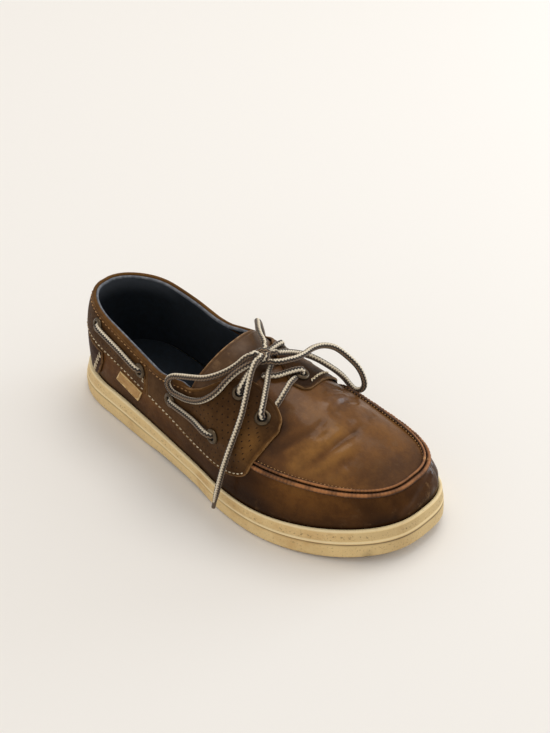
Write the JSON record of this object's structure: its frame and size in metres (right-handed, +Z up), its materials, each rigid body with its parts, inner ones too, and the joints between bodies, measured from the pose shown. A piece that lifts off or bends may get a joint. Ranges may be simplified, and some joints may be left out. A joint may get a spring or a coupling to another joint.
{
  "type": "boat shoe",
  "caption": "Low moccasin-toe boat shoe for the right foot, leather upper open at the collar, cupsole, side lace and tied bow.",
  "frame": {"origin": "on the floor below the middle of the shoe, measured without the free lace", "axes": "+X from heel to toe, +Z up, -Y to the outer side of the foot"},
  "size_m": [0.3, 0.1185, 0.1055],
  "materials": {
    "counter_leather": "brown leather with zigzag stitching",
    "eyelet_brass": "antique dark brass",
    "footbed_cloth": "navy woven sock over foam",
    "lace_cord": "round braided lace, cream and dark brown stripes",
    "side_leather": "brown perforated leather, stitched edges",
    "sole_rubber": "cream rubber, matt, fine grain, bright bead and dark groove round the wall",
    "tongue_leather": "brown oiled leather, soft",
    "upper_leather": "brown oiled leather, semi gloss, creased"
  },
  "bodies": {
    "root": {"end_lateral": "lace_cord", "end_medial": "lace_cord", "eyelet_heel_lateral": "eyelet_brass", "eyelet_heel_medial": "eyelet_brass", "eyelet_throat_lower_lateral": "eyelet_brass", "eyelet_throat_lower_medial": "eyelet_brass", "eyelet_throat_upper_lateral": "eyelet_brass", "eyelet_throat_upper_medial": "eyelet_brass", "eyelet_vamp_lateral": "eyelet_brass", "eyelet_vamp_medial": "eyelet_brass", "eyelet_waist_back_lateral": "eyelet_brass", "eyelet_waist_back_medial": "eyelet_brass", "eyelet_waist_front_lateral": "eyelet_brass", "eyelet_waist_front_medial": "eyelet_brass", "footbed": "footbed_cloth", "heel_band": "side_leather", "heel_counter": "counter_leather", "knot": "lace_cord", "lace_bar": "lace_cord", "lace_crossing": "lace_cord", "lace_tie_lateral": "lace_cord", "lace_tie_medial": "lace_cord", "loop_lateral": "lace_cord", "loop_medial": "lace_cord", "quarter_lateral": "side_leather", "quarter_medial": "side_leather", "side_lace_heel_lateral": "lace_cord", "side_lace_heel_medial": "lace_cord", "side_lace_waist_lateral": "lace_cord", "side_lace_waist_medial": "lace_cord", "sole": "sole_rubber", "tongue": "tongue_leather", "upper": "upper_leather"}
  },
  "joints": []
}
